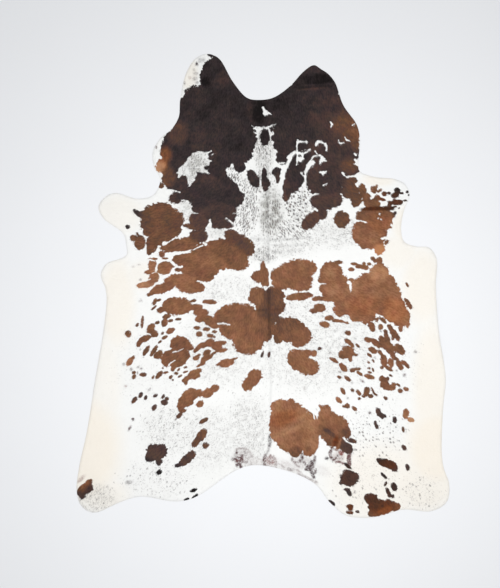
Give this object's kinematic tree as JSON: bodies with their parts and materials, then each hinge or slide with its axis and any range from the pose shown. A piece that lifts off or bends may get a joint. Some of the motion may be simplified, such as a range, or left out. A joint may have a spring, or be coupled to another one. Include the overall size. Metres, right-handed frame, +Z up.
{
  "type": "cowhide rug",
  "caption": "Whole cowhide rug with its hair on, lying flat: uneven outline with neck lobes, foreleg flaps and hind-leg corners, low soft folds.",
  "frame": {"origin": "on the floor, under the middle of the hide's bounding box", "axes": "+Z up out of the hair side, +Y towards the neck, +X towards the hide's right flank"},
  "size_m": [1.8576, 2.31, 0.0095],
  "materials": {
    "hide": "short flat hair, white ground with brown and near-black patches"
  },
  "bodies": {
    "root": {"hide": "hide"}
  },
  "joints": []
}
